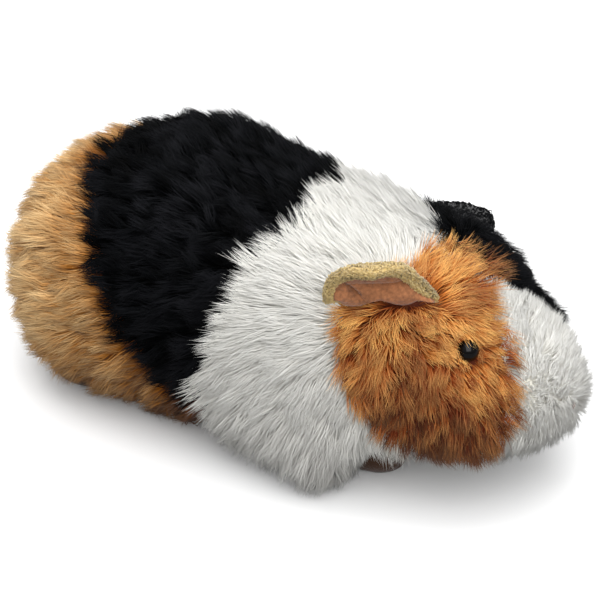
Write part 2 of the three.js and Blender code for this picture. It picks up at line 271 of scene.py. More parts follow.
# Where each panel starts and ends along the body.
PANELS = {
    "rump": (at_end(REAR_END), rump_seam),
    "saddle": (rump_seam, saddle_seam),
    "shoulders": (saddle_seam, neck_seam),
    "muzzle": (neck_seam, at_end(FRONT_END)),
    "cheek": (neck_seam, cheek_front),
}
DEPTH = {"rump": 9.5, "saddle": 9, "shoulders": 9.5, "muzzle": 6, "cheek": 7}  # from the tips to the skin
SEAM_ROLL = 1.6  # how deep a panel's edge rolls in, and a cheek's
CHEEK_ROLL = 1.8
UNDER_CHEEK = 3.0  # the head's panel sinks this far under a cheek, which fills that depth


def in_cheek(along, around, parting=0.0):
    """Whether places on the head lie on a cheek."""
    side = above_side(around)
    return ((side > CHEEK_LOW) & (side <= 90 - parting)
            & (along > neck_seam(around)) & (along < cheek_front(around)))


def panel_skin(panel, material, rows, columns=96):
    """A stuffed panel that goes all round the body, rolled in at its seams and sunk under the cheeks."""
    start, end = PANELS[panel]
    around = -90 + 360 * np.arange(columns) / columns
    a, b = start(around), end(around)
    rings = []
    for i in range(rows + 1):
        share = i / rows
        pinch = SEAM_ROLL * (1 - min(min(share, 1 - share) * rows / 2, 1)) ** 2
        along = a + (b - a) * share
        depth = DEPTH[panel] + pinch + np.where(in_cheek(along, around, BLAZE_HALF), UNDER_CHEEK, 0)
        rings.append(skin_point(along, around, depth[:, None]))
    inner_a = 0.5 * (rings[0] + rings[0].mean(0))
    inner_b = 0.5 * (rings[-1] + rings[-1].mean(0))
    add_closed(f"{panel}_skin", [inner_a, *rings, inner_b], material, panel)


def cheek_skin(side_name, material, rows=20, columns=28):
    """A cheek, laid over the side of the head and rolled in at its seam."""
    start, end = PANELS["cheek"]
    low, high = CHEEK_LOW, 90 - BLAZE_HALF
    side = np.linspace(low, high, columns + 1)
    around = 180 - side if side_name == "left" else side
    a, b = start(around), end(around)
    layers = []
    for over in (0.0, UNDER_CHEEK):
        grid = []
        for i in range(rows + 1):
            share = i / rows
            edge = np.minimum(min(share, 1 - share) * rows / 3,
                              np.minimum(side - low, high - side) / (high - low) * columns / 3)
            pinch = CHEEK_ROLL * (1 - np.minimum(edge, 1)) ** 2
            depth = DEPTH["cheek"] + over + (0 if over else pinch - 0.6)
            column = np.broadcast_to(np.asarray(depth, float), (columns + 1,))[:, None]
            along = a + (b - a) * share
            grid.append(body_point(along, around) - column * body_normal(along, around))
        layers.append(np.array(grid))
    points = np.concatenate([layer.reshape(-1, 3) for layer in layers])
    width = columns + 1
    block = (rows + 1) * width
    faces = []
    for i in range(rows):
        for j in range(columns):
            quad = (i * width + j, i * width + j + 1, (i + 1) * width + j + 1, (i + 1) * width + j)
            faces += [quad, tuple(block + k for k in reversed(quad))]
    rim = (list(range(columns)) + [i * width + columns for i in range(rows)]
           + [rows * width + j for j in range(columns, 0, -1)] + [i * width for i in range(rows, 0, -1)])
    for k, first in enumerate(rim):
        second = rim[(k + 1) % len(rim)]
        faces.append((second, first, block + first, block + second))
    node = f"cheek_{side_name}"
    mesh = turned_out(mesh_from(f"{node}_skin", points, faces))
    add_object(f"{node}_skin", mesh, material, node)


BELLY_MIDDLE = -14
BELLY_RADII = (62, 30)
# [height, share of the way out] of its rings, from under its middle, round its edge and back.
BELLY_SECTION = [(0.7, 0.35), (0.4, 0.7), (0.4, 0.93), (0.9, 1.0), (1.6, 1.0), (2.0, 0.95), (2.2, 0.6)]


def belly_skin(material):
    """The flat panel that the toy lies on."""
    angles = np.radians(np.arange(0, 360, 6))
    rings = []
    for height, share in BELLY_SECTION:
        rings.append(np.stack([BELLY_MIDDLE + BELLY_RADII[0] * share * np.cos(angles),
                               BELLY_RADII[1] * share * np.sin(angles),
                               np.full(len(angles), height)], -1))
    add_closed("belly_skin", rings, material, "belly")


# ---- pile ----
EVEN_STEPS = (0.7548776662466927, 0.5698402909980532)  # of a sequence that fills a square evenly
PILE_STEPS = 3  # places along a strand
PILE_TAPER = np.array([1.0, 0.8, 0])
MOVES_PER_STEP = 3
UNDER_HEIGHT = 4  # below this height the tips are under the body, and only this share of the pile is kept
UNDER_SHARE = 0.15
STAND_OUT = 3.2  # how far a tip may stand out of the coat
STRANDS_PER_PIECE = 12000
BAKE_PATCH = 0.003  # the size of a strand's patch in the bake map


def spread(spacing, low, high, weight, keep):
    """(along, around) places about one spacing apart, evenly spread over the real surface."""

    def scatter(many):
        k = np.arange(1, many + 1)
        along = low[0] + (high[0] - low[0]) * ((0.5 + k * EVEN_STEPS[0]) % 1)
        around = low[1] + (high[1] - low[1]) * ((0.5 + k * EVEN_STEPS[1]) % 1)
        step = np.linalg.norm(body_point(along + 0.002, around) - body_point(along - 0.002, around), axis=1)
        turn = np.linalg.norm(body_point(along, around + 0.5) - body_point(along, around - 0.5), axis=1)
        share = step / 0.004 * turn * (high[0] - low[0]) * (high[1] - low[1]) / many
        return along, around, share * weight(along, around) * keep(along, around)

    patch = scatter(4000)[2].max() * 4000
    many = int(patch * 1.05 / spacing ** 2)
    along, around, share = scatter(many)
    chosen = np.where(share / spacing ** 2 > random.random(many))[0]
    return along[chosen], around[chosen]


def nearest(points, centres):
    tree = kdtree.KDTree(len(centres))
    for i, centre in enumerate(centres):
        tree.insert(centre, i)
    tree.balance()
    return np.array([tree.find(point)[1] for point in points])


def strands(points, widths, across):
    """Vertices and faces of tapering three-sided strands, with a flat side towards across. Points is a
    row of places for each strand."""
    count, steps = points.shape[:2]
    ahead = unit(np.gradient(points, axis=1))
    side = unit(np.cross(ahead, across[:, None, :]))
    over = np.cross(ahead, side)
    turn = 2 * np.pi * np.arange(3) / 3 - np.pi / 6
    ring = (np.cos(turn)[None, None, :, None] * side[:, :-1, None, :]
            + np.sin(turn)[None, None, :, None] * over[:, :-1, None, :])
    body = points[:, :-1, None, :] + ring * widths[:, :-1, None, None] / 2
    vertices = np.concatenate([body.reshape(count, -1, 3), points[:, -1:]], axis=1)
    outward = np.concatenate([ring.reshape(count, -1, 3), ahead[:, -1:]], axis=1)
    per = vertices.shape[1]
    quads = []
    for k in range(steps - 2):
        for j in range(3):
            m = (j + 1) % 3
            quads.append([3 * k + j, 3 * k + m, 3 * (k + 1) + m, 3 * (k + 1) + j])
    base = 3 * (steps - 2)
    tris = [[base + j, base + (j + 1) % 3, per - 1] for j in range(3)] + [[2, 1, 0]]
    offset = (np.arange(count) * per)[:, None, None]
    quads = (np.array(quads)[None] + offset).reshape(-1, 4)
    tris = (np.array(tris)[None] + offset).reshape(-1, 3)
    return vertices.reshape(-1, 3), outward, quads, tris, per


def strand_mesh(name, points, widths, across, tone, place, softness):
    """A joined mesh of strands, with each strand's tone, how far along it a point is, and its patch in
    the bake map at its root's place (share of the way round, share of the way along). Softness turns the
    strands' normals towards across, the normal of the coat, so that they shade as one."""
    vertices, outward, quads, tris, per = strands(points, widths, across)
    count, steps = points.shape[:2]
    mesh = bpy.data.meshes.new(name)
    mesh.vertices.add(len(vertices))
    mesh.vertices.foreach_set("co", (vertices * MM).astype(np.float32).ravel())
    corners = np.concatenate([quads.ravel(), tris.ravel()])
    sizes = np.concatenate([np.full(len(quads), 4), np.full(len(tris), 3)])
    mesh.loops.add(len(corners))
    mesh.loops.foreach_set("vertex_index", corners.astype(np.int32))
    mesh.polygons.add(len(sizes))
    mesh.polygons.foreach_set("loop_start", (np.cumsum(sizes) - sizes).astype(np.int32))
    mesh.polygons.foreach_set("use_smooth", np.ones(len(sizes), bool))
    share = np.append(np.repeat(np.arange(steps - 1) / (steps - 1), 3), 1.0)
    for label, values in (("along", np.tile(share, count)), ("tone", np.repeat(tone, per))):
        mesh.attributes.new(label, "FLOAT", "POINT").data.foreach_set("value", values.astype(np.float32))
    across_patch = np.append(np.tile(np.arange(3) / 2, steps - 1), 0.5)
    patch = np.stack([np.tile(across_patch, count), np.tile(share, count)], -1) * BAKE_PATCH
    patch += np.repeat(place * (1 - BAKE_PATCH), per, axis=0)
    mesh.uv_layers.new(name="OFBake").data.foreach_set("uv", patch[corners].astype(np.float32).ravel())
    mesh.update(calc_edges=True)
    mesh.validate()
    normals = unit((1 - softness) * outward + softness * unit(across)[:, None]).reshape(-1, 3)
    mesh.normals_split_custom_set_from_vertices(normals)
    return mesh


def add_strands(name, points, widths, across, tone, place, material, softness):
    """Adds strands as pieces of a modest size."""
    parts = max(1, math.ceil(len(points) / STRANDS_PER_PIECE))
    for i, chosen in enumerate(np.array_split(np.arange(len(points)), parts)):
        label = f"{name}_{i + 1}"
        mesh = strand_mesh(label, points[chosen], widths[chosen], across[chosen], tone[chosen], place[chosen],
                           softness)
        add_object(label, mesh, material)


def flatten_part(vectors, normals):
    """The part of each vector that lies along the surface."""
    return vectors - (vectors * normals).sum(-1, keepdims=True) * normals


def flatten(vectors, normals):
    """The same as a unit vector."""
    return unit(flatten_part(vectors, normals))


def from_whorls(point, whorls):
    """A direction away from each [centre, strength], strongest near it and even within 3 mm of it."""
    total = np.zeros_like(point)
    for centre, strength in whorls:
        gap = point - np.asarray(centre, float)
        total += strength * gap / (np.linalg.norm(gap, axis=-1, keepdims=True) ** 2 + 9)
    return total


def lay_pile(name, material, style, flow, inside):
    """Grows pile where inside() says. Strands near one another gather into locks that narrow to a tip,
    and locks near one another lean together."""
    low, high = np.array([style["along"], style.get("around", (-90, 270))]).T
    depth = style["depth"]

    def weight(along, around):
        return np.where(body_point(along, around)[:, 2] < UNDER_HEIGHT, UNDER_SHARE, 1.0)

    along, around = spread(style["spacing"], low, high, weight, inside)
    root = skin_point(along, around, depth + 0.3)
    normal = body_normal(along, around)
    lock_root = skin_point(*spread(style["lock"], low, high, weight, inside), depth)
    herd_root = skin_point(*spread(style["herd"], low, high, weight, inside), depth)
    lock = nearest(root, lock_root)
    herd = nearest(lock_root, herd_root)

    def by_lock(size, herd_size=0.0):
        own = size * random.normal(size=len(lock_root))
        return own + herd_size * random.normal(size=len(herd_root))[herd]

    stray = math.radians(style["stray"])
    bend = by_lock(math.radians(style["curl"]))[lock]
    amount = len(root)
    fluff = math.radians(style["fluff"])
    yaw = by_lock(stray, 0.8 * stray)[lock] + fluff * random.normal(size=amount)
    lift = by_lock(math.radians(style["lift_spread"]))[lock] + 0.8 * fluff * random.normal(size=amount)
    tone = by_lock(0.2, 0.14)[lock] + 0.09 * random.normal(size=amount)
    tone = np.clip(0.5 + style.get("tone_spread", 1) * tone, 0, 1)
    if "tone_at" in style:
        tone = np.clip(tone + style["tone_at"](root, along, around), -0.7, 1)
    length = style["length"] * (1 + by_lock(0.12, 0.06)[lock] + 0.1 * random.normal(size=amount))
    if "length_at" in style:
        length *= style["length_at"](root, along, around)
    if "upright_at" in style:
        lift += np.radians(style["upright_at"](root))
    length = np.maximum(length, 1.5)

    ahead = flatten(flow(root), normal)
    aside = np.cross(normal, ahead)
    points = np.empty((amount, PILE_STEPS, 3))
    points[:, 0] = root
    first, last = np.radians(style["lift"])
    moves = (PILE_STEPS - 1) * MOVES_PER_STEP
    crimp = math.radians(7) * random.normal(size=(PILE_STEPS - 1, amount))
    place = root.copy()
    for i in range(moves):
        share = (i + 0.5) / moves
        tilt = np.clip(first + (last - first) * share + lift, math.radians(2), math.radians(88))[:, None]
        turn = (yaw + bend * (share - 0.3) * 2 + crimp[i // MOVES_PER_STEP])[:, None]
        heading = np.cos(turn) * ahead + np.sin(turn) * aside
        place = place + (length / moves)[:, None] * (np.cos(tilt) * heading + np.sin(tilt) * normal)
        if (i + 1) % MOVES_PER_STEP == 0:
            points[:, (i + 1) // MOVES_PER_STEP] = place
    pull = (np.arange(PILE_STEPS) / (PILE_STEPS - 1))[None, :, None] ** 1.2
    to_lock = flatten_part(root - lock_root[lock], normal)
    to_herd = flatten_part((lock_root - herd_root[herd])[lock], normal)
    clump = style["clump"] * (style["clump_at"](root)[:, None] if "clump_at" in style else 1)
    points -= pull * (clump * to_lock + style["herd_clump"] * to_herd)[:, None]
    rest_on_coat(points, root, normal, depth)
    press_to_floor(points)
    widths = style["width"] * np.clip(1 + 0.15 * random.normal(size=amount), 0.5, 1.5)[:, None] * PILE_TAPER
    spot = np.stack([(around + 90) / 360, along], -1)
    rounded = style.get("rounded", 0.9) * to_lock / style["lock"]  # each lock shades as a soft round tuft
    across = unit(normal + rounded) + style.get("ruffle", 0.1) * random.normal(size=normal.shape)
    add_strands(name, points, widths, across, tone, spot, material, style.get("softness", 0.8))


def rest_on_coat(points, root, normal, depth):
    """Brings the tips that stand far out of the coat back towards it."""
    out = ((points - root[:, None]) * normal[:, None]).sum(-1) - depth
    past = np.maximum(out - STAND_OUT / 2, 0)
    held = STAND_OUT / 2 * (1 - np.exp(-past / (STAND_OUT / 2)))
    points -= (past - held)[..., None] * normal[:, None]


def press_to_floor(points):
    """Keeps strands above what the toy lies on."""
    height = points[..., 2]
    points[..., 2] = np.where(height < 1.2, 0.35 + 0.85 * np.exp((height - 1.2) / 3), height)


# ---- materials ----
def new_material(name):
    material = bpy.data.materials.new(name)
    material.use_nodes = True
    nodes = material.node_tree.nodes
    return material, nodes, material.node_tree.links, nodes["Principled BSDF"]


def srgb(red, green, blue):
    """A colour as it looks on a screen, 0 to 255, as linear light."""
    values = [c / 255 for c in (red, green, blue)]
    return (*[v / 12.92 if v <= 0.04045 else ((v + 0.055) / 1.055) ** 2.4 for v in values], 1)


def set_inputs(node, values):
    for label, value in values.items():
        node.inputs[label].default_value = value


def feed(links, socket, value):
    """Sets an input, or links another node's result to it."""
    if isinstance(value, bpy.types.NodeSocket):
        links.new(value, socket)
    else:
        socket.default_value = value


def maths(nodes, links):
    """A function that adds one step of arithmetic between nodes and returns its result."""
    def step(operation, first, second, clamp=False):
        node = nodes.new("ShaderNodeMath")
        node.operation = operation
        node.use_clamp = clamp
        feed(links, node.inputs[0], first)
        feed(links, node.inputs[1], second)
        return node.outputs[0]
    return step


def mixed(nodes, links, share, first, second):
    """A colour between two others."""
    mix = nodes.new("ShaderNodeMix")
    mix.data_type = "RGBA"
    for label, value in (("Factor", share), ("A", first), ("B", second)):
        feed(links, mix.inputs[label], value)
    return mix.outputs["Result"]


def new_group(name, colours, numbers, result):
    """A node group and its sockets: the group, its nodes and links, what it is given, and its result."""
    kind = "NodeSocketColor" if result == "Color" else "NodeSocketFloat"
    group = bpy.data.node_groups.new(name, "ShaderNodeTree")
    for labels, socket_type in ((colours, "NodeSocketColor"), (numbers, "NodeSocketFloat")):
        for label in labels:
            group.interface.new_socket(label, in_out="INPUT", socket_type=socket_type)
    group.interface.new_socket(result, in_out="OUTPUT", socket_type=kind)
    given, output = group.nodes.new("NodeGroupInput"), group.nodes.new("NodeGroupOutput")
    return group, group.nodes, group.links, given.outputs, output.inputs[0]


def strand_value(nodes, name):
    node = nodes.new("ShaderNodeAttribute")
    node.attribute_name = name
    return node.outputs["Fac"]


def pile_colour_group():
    """Colour along a strand, from the dyed root to the tip. Darker locks are also redder and stronger."""
    colours, numbers = ("Root", "Middle", "Tip"), ("Middle Place", "Variation", "Paling")
    group, nodes, links, given, result = new_group("pile_colour", colours, numbers, "Color")
    step = maths(nodes, links)
    along = strand_value(nodes, "along")
    middle = given["Middle Place"]
    low = step("DIVIDE", along, middle, True)
    high = step("DIVIDE", step("SUBTRACT", along, middle), step("SUBTRACT", 1.0, middle), True)
    colour = given["Root"]
    for share, label in ((low, "Middle"), (high, "Tip")):
        colour = mixed(nodes, links, share, colour, given[label])
    swing = step("MULTIPLY", step("SUBTRACT", strand_value(nodes, "tone"), 0.5), given["Variation"])
    shade = nodes.new("ShaderNodeHueSaturation")
    links.new(step("ADD", step("MULTIPLY", swing, 0.03), 0.5), shade.inputs["Hue"])
    links.new(step("ADD", swing, 1.0), shade.inputs["Value"])
    links.new(step("SUBTRACT", 1.0, step("MULTIPLY", swing, given["Paling"])), shade.inputs["Saturation"])
    links.new(colour, shade.inputs["Color"])
    links.new(shade.outputs["Color"], result)
    return group


def grain_group():
    """The bump of short cropped fibres: a fine grain over a soft unevenness."""
    numbers = ("Fine Scale", "Coarse Scale", "Coarse Share")
    group, nodes, links, given, result = new_group("fibre_grain", (), numbers, "Height")
    step = maths(nodes, links)
    place = nodes.new("ShaderNodeTexCoord")
    heights = []
    for label in ("Fine Scale", "Coarse Scale"):
        noise = nodes.new("ShaderNodeTexNoise")
        noise.inputs["Detail"].default_value = 4
        links.new(place.outputs["Object"], noise.inputs["Vector"])
        links.new(given[label], noise.inputs["Scale"])
        heights.append(noise.outputs["Fac"])
    links.new(step("ADD", heights[0], step("MULTIPLY", heights[1], given["Coarse Share"])), result)
    return group


pile_colour = pile_colour_group()
fibre_grain = grain_group()


def group_node(nodes, group, values):
    node = nodes.new("ShaderNodeGroup")
    node.node_tree = group
    set_inputs(node, values)
    return node.outputs[0]


def grain_height(nodes, fine, coarse, coarse_share):
    return group_node(nodes, fibre_grain, {"Fine Scale": fine, "Coarse Scale": coarse,
                                           "Coarse Share": coarse_share})


def pile_material(name, root, middle, tip, variation, paling=0.2, roughness=0.7, sheen=0.1, specular=0.12,
                  soft=0.0):
    """Dyed fibres; soft is how much light passes through them."""
    material, nodes, links, shader = new_material(name)
    colour = group_node(nodes, pile_colour, {"Root": srgb(*root), "Middle": srgb(*middle), "Tip": srgb(*tip),
                                             "Middle Place": 0.45, "Variation": variation, "Paling": paling})
    links.new(colour, shader.inputs["Base Color"])
    set_inputs(shader, {"Roughness": roughness, "Specular IOR Level": specular, "Sheen Weight": sheen,
                        "Sheen Roughness": 0.5})
    if soft:
        set_inputs(shader, {"Subsurface Weight": soft, "Subsurface Radius": (0.002, 0.002, 0.002),
                            "Subsurface Scale": 1.0})
    return material


def cropped_material(name, colour, roughness, fine, coarse, strength, mottle=0.25):
    """Velour or terry cloth: one dyed colour, mottled a little, with a fibre grain."""
    material, nodes, links, shader = new_material(name)
    step = maths(nodes, links)
    height = grain_height(nodes, fine, coarse, 0.6)
    bump = nodes.new("ShaderNodeBump")
    set_inputs(bump, {"Strength": strength, "Distance": 0.0006})
    links.new(height, bump.inputs["Height"])
    links.new(bump.outputs["Normal"], shader.inputs["Normal"])
    shade = nodes.new("ShaderNodeHueSaturation")
    shade.inputs["Color"].default_value = srgb(*colour)
    links.new(step("ADD", step("MULTIPLY", height, mottle), 1 - 0.8 * mottle), shade.inputs["Value"])
    links.new(shade.outputs["Color"], shader.inputs["Base Color"])
    set_inputs(shader, {"Roughness": roughness, "Specular IOR Level": 0.2, "Sheen Weight": 0.3,
                        "Sheen Roughness": 0.5})
    return material


def plastic_material(name, colour):
    """Glossy plastic, a little scuffed."""
    material, nodes, links, shader = new_material(name)
    step = maths(nodes, links)
    scuffs = step("MULTIPLY", grain_height(nodes, 900, 250, 0.5), 0.09)
    links.new(step("ADD", scuffs, 0.02), shader.inputs["Roughness"])
    set_inputs(shader, {"Base Color": srgb(*colour), "Specular IOR Level": 0.2})
    return material


# ---- how the pile lies ----
def falling(height, low):
    """How strongly pile hangs: not on the back, and up to this much near the floor."""
    return np.interp(height, [4, 16, 36, 62, 100], low * np.array([1, 0.6, 0.25, 0.1, 0]))


def back_flow(root):
    """Brushed towards the rump, and hanging down near the floor."""
    outward = 0.35 * root[:, 1] / 60
    return np.stack([np.full(len(root), -1.0), outward * (root[:, 0] < -70), -falling(root[:, 2], 2.2)], -1)


def shoulder_flow(root):
    """Away from the ears, and hanging in front of the chest."""
    side = np.tanh(root[:, 1] / 20)
    gap = root - np.stack([np.full(len(root), 58.0), 38 * side, np.full(len(root), 84.0)], -1)
    gap[:, 1] *= 0.4
    flow = unit(gap)
    flow[:, 2] -= falling(root[:, 2], 1.4)
    return flow


CHEEK_WHORLS = [((44, -42, 88), 0.35), ((56, -37, 90), 0.45), ((70, -26, 94), 0.9), ((63, -44, 77), 0.3)]


def cheek_flow(root):
    """Away from the line where the ear is sewn on, from its front end and from a whorl on the cheek."""
    side = np.where(root[:, 1] < 0, -1.0, 1.0)[:, None]
    fold = np.concatenate([np.ones_like(side), -side, np.ones_like(side)], 1)  # the left side onto the right
    flow = from_whorls(root * fold, CHEEK_WHORLS)
    flow[:, 2] -= 0.03
    flow[:, 1] -= np.where(side[:, 0] > 0, 0.06, 0)  # the far cheek's pile lies away from the blaze
    return flow * fold


def muzzle_flow(root):
    """Outwards from the nose, hardly laid down at all."""
    flow = unit(root - np.array([134.0, 0, 44]))
    flow[:, 2] -= 0.25
    return flow


# ---- ears ----
EAR_OUTLINE = [[-17, -8], [-22.5, 0], [-23.5, 8], [-20, 17], [-12, 23.5], [-3, 26], [6, 20.8], [13, 13.2],
               [18.5, 6.5], [21.5, 0.5], [16, -8], [-1, -10]]
EAR_CENTRE = (-1, 9)
CURL_STEPS = 24
SPOKES = 72  # of the cloth, and of the places where a loop may stand
LOOP_SPOKES = 720
SECTION_STEP = 0.25
LOOP_REACH = 8.6  # how far over the terry's section the loops stand
LOOP_SHAPE = [(0, -0.2), (0.1, 0.8), (0.75, 0.95), (1.0, -0.2)]  # [along, up]
EAR_CLOTH_SHARE = 0.93  # the cloth is this much smaller than the ear with its loops
EAR_SEWN = 2.0  # the height below which the edge is tucked in
# Where each ear is sewn on, how far that seam turns in towards the nose, how much its ends cup, and its lean
# outwards as [up from the seam, degrees].
RIGHT_EAR = {"seam": (56, -35.5, 91), "turn": 28, "cup": 0.006,
             "lean": [[-10, 0], [0, 0], [15, 32], [27, 118]]}
LEFT_EAR = {"seam": (54.5, 34, 87), "turn": 22, "cup": 0.012,
            "lean": [[-10, 66], [0, 84], [15, 108], [27, 138]]}
# Each layer's section from its middle over one face, round the edge and back: [share of the way out, through]
# where the terry is turned over the rim, and the same points where it isn't.
TERRY_FACE = [(0, 2.3), (0.3, 2.3), (0.6, 2.3), (0.8, 2.2), (0.93, 1.9)]
TERRY_INSIDE = [(0.8, 0.1), (0.4, 0.1), (0, 0.1)]
TERRY_SECTION = [
    TERRY_FACE + [(1.0, 0.9), (1.0, -0.5), (0.95, -1.7), (0.88, -1.9), (0.83, -1.2)] + TERRY_INSIDE,
    TERRY_FACE + [(0.99, 1.3), (1.0, 0.9), (0.99, 0.5), (0.96, 0.25), (0.9, 0.15)] + TERRY_INSIDE]
LINING_SECTION = [
    [(0, -3.0), (0.25, -3.0), (0.45, -3.0), (0.62, -2.8), (0.75, -2.4), (0.83, -1.6), (0.86, -0.8),
     (0.84, -0.2), (0.5, -0.1), (0, -0.1)],
    [(0, -3.0), (0.25, -3.0), (0.5, -3.0), (0.72, -2.9), (0.9, -2.5), (1.0, -1.7), (1.02, -0.9),
     (0.98, -0.3), (0.5, -0.1), (0, -0.1)]]


def ear_outline(count):
    """A smooth closed curve through the outline, at evenly spaced shares of the way round."""
    knots = np.array(EAR_OUTLINE, float)
    at = np.arange(count) / count * len(knots)
    i = at.astype(int)
    t = (at - i)[:, None]
    a, b, c, d = (knots[(i + k) % len(knots)] for k in (-1, 0, 1, 2))
    curve = 0.5 * (2 * b + (c - a) * t + (2 * a - 5 * b + 4 * c - d) * t ** 2
                   + (3 * b - a - 3 * c + d) * t ** 3)
    forward, height = (EAR_CLOTH_SHARE * (curve - EAR_CENTRE) + EAR_CENTRE).T
    tucked = EAR_SEWN + (height - EAR_SEWN) * 0.15 + 1.2 * np.cos(0.36 * (forward + 2))  # a little wavy
    height = np.where(height < EAR_SEWN, tucked, height)
    return np.stack([forward, height], -1)


def ear_section(section, outline):
    """The section's points for each spoke: turned over along the top and the rear, plain along the seam."""
    turned, plain = (np.array(part, float) for part in section)
    forward, height = outline.T
    wrap = np.clip(height / 4, 0, 1) * ramp(21 - forward, 2)
    wrap = (wrap * wrap * (3 - 2 * wrap))[:, None, None]
    spokes = turned * wrap + plain * (1 - wrap)
    # The band is broadest in front.
    broad = 0.13 * ramp(forward + 10, 16) * np.clip(height / 8, 0, 1)
    spokes[..., 0] -= broad[:, None] * ((spokes[..., 1] < -0.6) & (spokes[..., 0] > 0.6))
    return spokes


def ear_point(ear, forward, height, through):
    """A point of an ear: towards the nose, up its curl, and through it towards its back."""
    steps = (np.arange(CURL_STEPS) + 0.5) / CURL_STEPS
    height = np.asarray(height, float)
    lean = np.radians(profile(ear["lean"], height[..., None] * steps))
    out = (np.sin(lean) * height[..., None] / CURL_STEPS).sum(-1)
    up = (np.cos(lean) * height[..., None] / CURL_STEPS).sum(-1)
    angle = np.radians(profile(ear["lean"], height))
    back = through - ear["cup"] * forward ** 2
    outward = out - back * np.cos(angle)
    turn = math.radians(ear["turn"])
    side = math.copysign(1, ear["seam"][1])
    x, y, z = ear["seam"]
    return np.stack([x + forward * math.cos(turn) + outward * math.sin(turn),
                     y + side * (outward * math.cos(turn) - forward * math.sin(turn)),
                     z + up + back * np.sin(angle)], -1)


def ear_relief(forward, height, through, soft):
    """Soft unevenness of the stuffed layers, and the lining's folds."""
    wave = 0.35 * np.sin(0.42 * forward + 1.3) * np.sin(0.31 * height + 0.4)
    slanting = 3.0 * np.exp(-(((forward + 11 + 0.75 * (height - 7)) / 1.1) ** 2) - ((height - 7) / 6) ** 2)
    lengthwise = 2.2 * np.exp(-(((height - 9.5 - 0.02 * forward ** 2) / 1.6) ** 2)
                              - ((forward - 4) / 12) ** 2)
    roll = 1.3 * np.exp(-(((height - 3.5 - 0.8 * np.sin(0.3 * forward)) / 3.2) ** 2))
    front = np.clip(-through / 2.5, 0, 1)
    return through + wave * (1 - 0.5 * front) + soft * front * (slanting + lengthwise - roll)


def ear_layer(name, ear, section, material, node, soft):
    """One of an ear's two layers. Soft is how much of the folds it takes."""
    outline = ear_outline(SPOKES)
    spokes = ear_section(section, outline)
    rings = []
    for run in np.arange(0, spokes.shape[1] - 1 + 0.1, SECTION_STEP):
        low = min(int(run), spokes.shape[1] - 2)
        share, through = (spokes[:, low] * (low + 1 - run) + spokes[:, low + 1] * (run - low)).T
        forward, height = (np.array(EAR_CENTRE) + np.maximum(share, 0.01)[:, None] * (outline - EAR_CENTRE)).T
        rings.append(ear_point(ear, forward, height, ear_relief(forward, height, through, soft)))
    add_closed(name, rings, material, node)


def terry_loops(name, ear, count, material):
    """Small loops of yarn over the back of an ear, its rim and the band turned over the rim."""
    dense = ear_outline(LOOP_SPOKES)
    spoke = random.integers(0, LOOP_SPOKES, count)
    sections = ear_section(TERRY_SECTION, dense)[spoke]
    run = random.random(count) ** 0.8 * LOOP_REACH
    low = run.astype(int)
    part = (run - low)[:, None]
    pick = np.arange(count)
    share, through = (sections[pick, low] * (1 - part) + sections[pick, low + 1] * part).T
    share = np.where(run < 4, np.sqrt(random.random(count)) * 0.93, share)
    rim = dense[spoke]
    forward, height = (np.array(EAR_CENTRE) + share[:, None] * (rim - EAR_CENTRE)).T

    def at(f, h, t):
        return ear_point(ear, f, h, ear_relief(f, h, t, 0.0))

    root = at(forward, height, through)
    ahead = unit(at(forward + 0.4, height, through) - root)
    up = unit(at(forward, height + 0.4, through) - root)
    through_way = unit(at(forward, height, through + 0.4) - root)
    edge = unit((rim - EAR_CENTRE)[:, :1] * ahead + (rim - EAR_CENTRE)[:, 1:] * up)
    bulge = np.interp(run, [4, 5, 6, 7, 8], [0, 1.2, 1.6, 0.6, 0])[:, None]
    facing = np.interp(run, [4.5, 5.5, 7], [1, 0, -1])[:, None]
    normal = unit(facing * through_way + bulge * edge)
    turn = random.random(count) * 2 * np.pi
    across = flatten(np.cos(turn)[:, None] * ahead + np.sin(turn)[:, None] * up, normal)
    size = (1 + 0.2 * random.normal(size=count))[:, None]
    points = np.stack([root + size * (a * 0.85 * across + b * 0.68 * normal) for a, b in LOOP_SHAPE], 1)
    widths = 0.42 * size * np.array([0.9, 1.0, 1.0, 0.5])
    tone = np.clip(0.5 + 0.25 * random.normal(size=count), 0, 1)
    place = np.stack([spoke / LOOP_SPOKES, 0.5 * (run / LOOP_REACH)], -1)
    add_strands(name, points, widths, normal + 0.3 * across, tone, place, material, 0.7)


# ---- eyes, nose and feet ----
EYE_ALONG = 0.855
EYE_AROUND = 45
EYE_RADIUS = 4.4
EYE_SUNK = 5.15  # below the tips of the pile
NOSE_CENTRE = (120.2, 0, 40.5)
NOSE_RADII = (3.8, 5.2, 3.8)
NOSE_ROOM = 2.2  # from its middle to the nearest roots
FEET = {"foot_front": {"centre": (46, 23.5, 7.2), "radii": (16.5, 8.5, 7.4), "turn": -6},
        "foot_hind": {"centre": (-94, 24, 5), "radii": (17, 9, 6.5), "turn": 10}}


def eye_centre(around):
    return body_point(EYE_ALONG, around) - EYE_SUNK * body_normal(EYE_ALONG, around)


def round_form(centre, radii, turn=0.0, rows=24, columns=40, shape=None):
    """Rings of an ellipsoid from its rear to its front, turned about the vertical."""
    angle = np.linspace(0, 2 * np.pi, columns, endpoint=False)
    rings = []
    for i in range(rows + 1):
        polar = np.pi * (0.02 + 0.96 * i / rows)
        ring = np.stack([np.full(columns, -np.cos(polar)), np.sin(polar) * np.cos(angle),
                         np.sin(polar) * np.sin(angle)], -1)
        rings.append((shape(ring) if shape else ring) * radii)
    rings = np.array(rings)
    c, s = math.cos(math.radians(turn)), math.sin(math.radians(turn))
    x, y = rings[..., 0].copy(), rings[..., 1].copy()
    rings[..., 0], rings[..., 1] = c * x - s * y, s * x + c * y
    return rings + np.array(centre)


def add_eye(name, around, node, material):
    rings = round_form(eye_centre(around), np.full(3, EYE_RADIUS), rows=20, columns=36)
    add_closed(name, rings, material, node)


